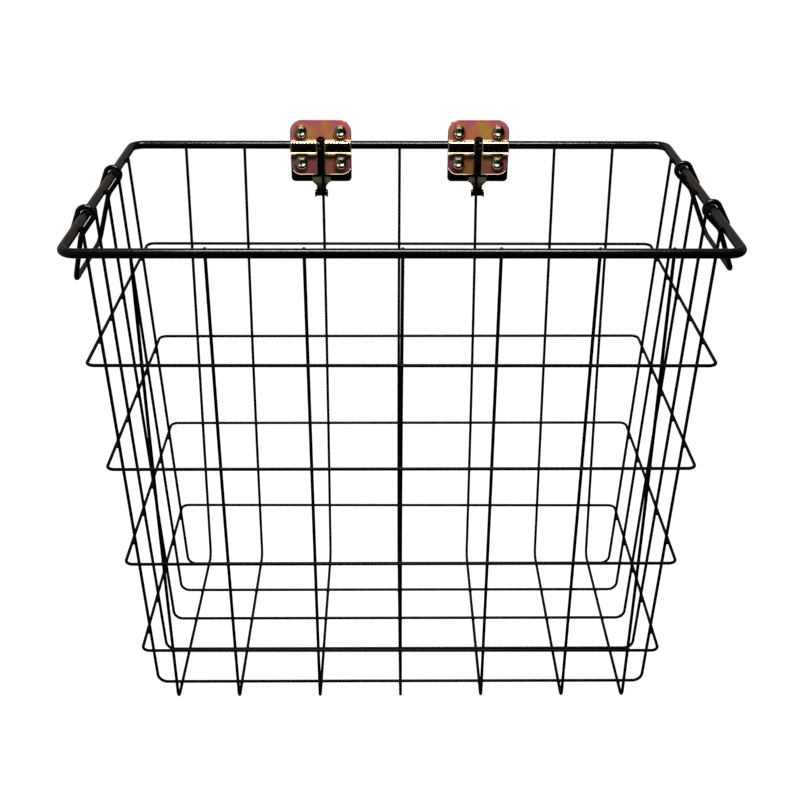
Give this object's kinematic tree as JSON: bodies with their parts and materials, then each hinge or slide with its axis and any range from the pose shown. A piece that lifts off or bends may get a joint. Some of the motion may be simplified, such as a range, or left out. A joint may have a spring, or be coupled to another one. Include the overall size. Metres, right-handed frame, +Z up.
{
  "type": "handlebar basket",
  "caption": "Tapered open basket of coated welded wire with a round rim rod, two swinging end bails and riveted plate brackets whose hooks drop over a handlebar.",
  "frame": {"origin": "centre of the overall box in X and Y, on the surface the floor wires stand on", "axes": "+Z up out of the open top, +Y toward the handlebar (the hooked long side), +X to the right when looking along +Y from the open long side"},
  "size_m": [0.4086, 0.2686, 0.3455],
  "materials": {
    "black_coating": "gloss",
    "yellow_zinc": "iridescent yellow chromate over zinc, bright",
    "rivet_steel": "bright, faint yellow tint"
  },
  "bodies": {
    "basket": {"rim_rod": "black_coating", "ring_wire_1": "black_coating", "ring_wire_2": "black_coating", "ring_wire_3": "black_coating", "ring_wire_4": "black_coating", "long_wire_1": "black_coating", "long_wire_2": "black_coating", "long_wire_3": "black_coating", "long_wire_4": "black_coating", "long_wire_5": "black_coating", "long_wire_6": "black_coating", "long_wire_7": "black_coating", "cross_wire_1": "black_coating", "cross_wire_2": "black_coating", "cross_wire_3": "black_coating", "cross_wire_4": "black_coating", "cross_wire_5": "black_coating", "inner_plate_left": "yellow_zinc", "back_plate_left": "yellow_zinc", "handlebar_hook_left": "yellow_zinc", "inner_plate_right": "yellow_zinc", "back_plate_right": "yellow_zinc", "handlebar_hook_right": "yellow_zinc", "rivet_left_upper_a": "rivet_steel", "rivet_left_upper_b": "rivet_steel", "rivet_left_lower_a": "rivet_steel", "rivet_left_lower_b": "rivet_steel", "rivet_right_upper_a": "rivet_steel", "rivet_right_upper_b": "rivet_steel", "rivet_right_lower_a": "rivet_steel", "rivet_right_lower_b": "rivet_steel"},
    "left_bail": {"bail_left": "black_coating"},
    "right_bail": {"bail_right": "black_coating"}
  },
  "joints": [
    {"name": "left_bail_swing", "type": "hinge", "parent": "basket", "child": "left_bail", "pos_m": [-0.19098, -0.02061, 0.32762], "axis": [0, 1, 0], "range_deg": [-18, 320]},
    {"name": "right_bail_swing", "type": "hinge", "parent": "basket", "child": "right_bail", "pos_m": [0.18502, -0.00941, 0.32762], "axis": [0, -1, 0], "range_deg": [-26, 322]}
  ]
}
